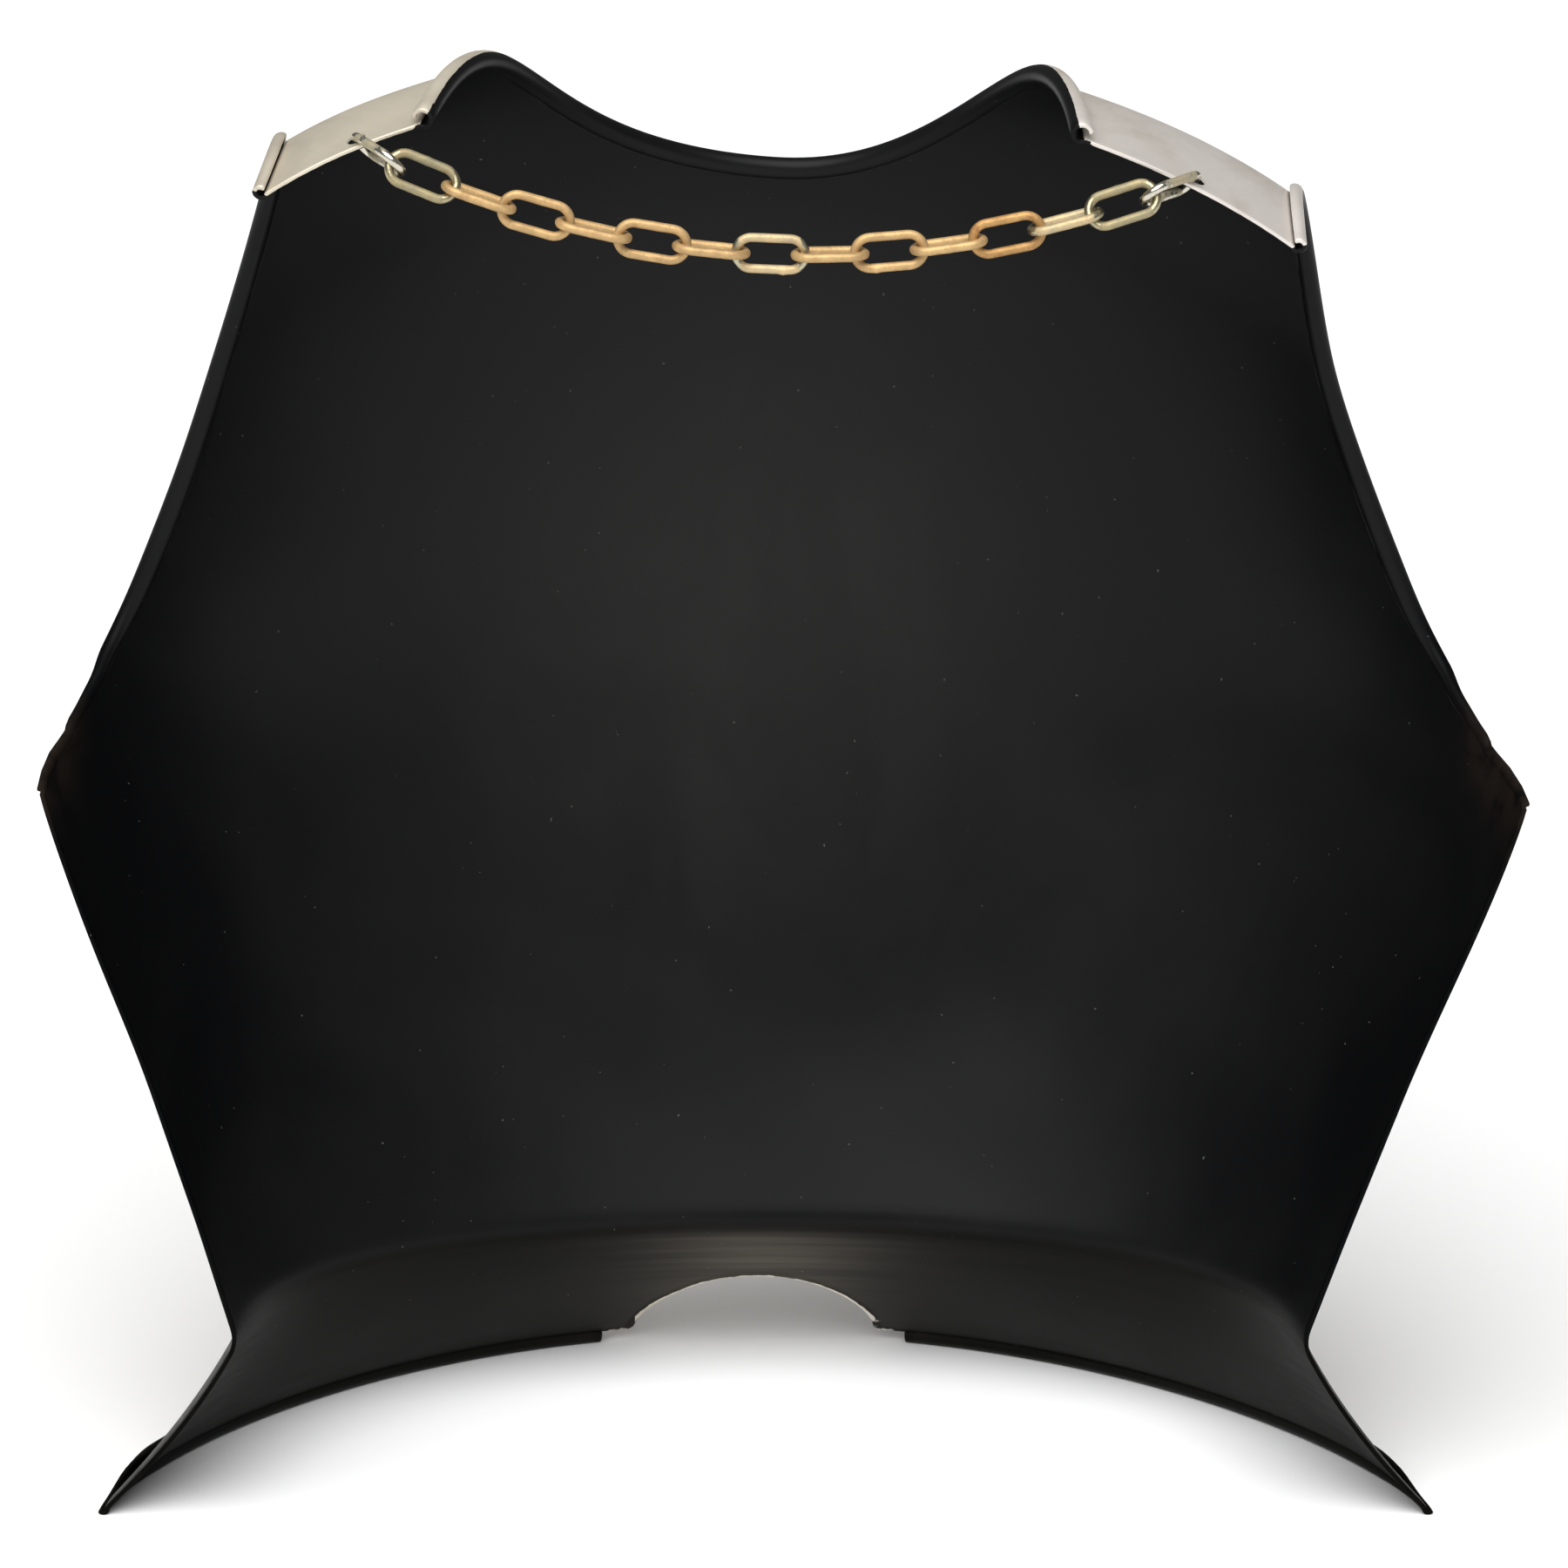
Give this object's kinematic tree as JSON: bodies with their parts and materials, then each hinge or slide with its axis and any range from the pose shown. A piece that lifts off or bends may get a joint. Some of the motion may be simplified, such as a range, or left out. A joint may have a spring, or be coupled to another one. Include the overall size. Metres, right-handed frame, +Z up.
{
  "type": "steel breastplate",
  "caption": "Hollow steel breastplate standing on its flared waist flange, with rolled neck and arm edges and a chain of oblong links between the shoulders.",
  "frame": {"origin": "on the floor, under the middle of the bounding box", "axes": "+X is the wearer's left, -Y is the way the chest bulges, +Z is up towards the shoulders"},
  "size_m": [0.4004, 0.1482, 0.4037],
  "materials": {
    "plate": "satin black paint on the inside, bare satin steel on the outside",
    "links": "dull brass plating on steel wire",
    "end_links": "plating worn through to the wire"
  },
  "bodies": {
    "root": {"breastplate": "plate", "end_link_left": "end_links", "end_link_right": "end_links", "chain_link_01": "links", "chain_link_02": "links", "chain_link_03": "links", "chain_link_04": "links", "chain_link_05": "links", "chain_link_06": "links", "chain_link_07": "links", "chain_link_08": "links", "chain_link_09": "links", "chain_link_10": "links", "chain_link_11": "links", "chain_link_12": "links", "chain_link_13": "links"}
  },
  "joints": []
}
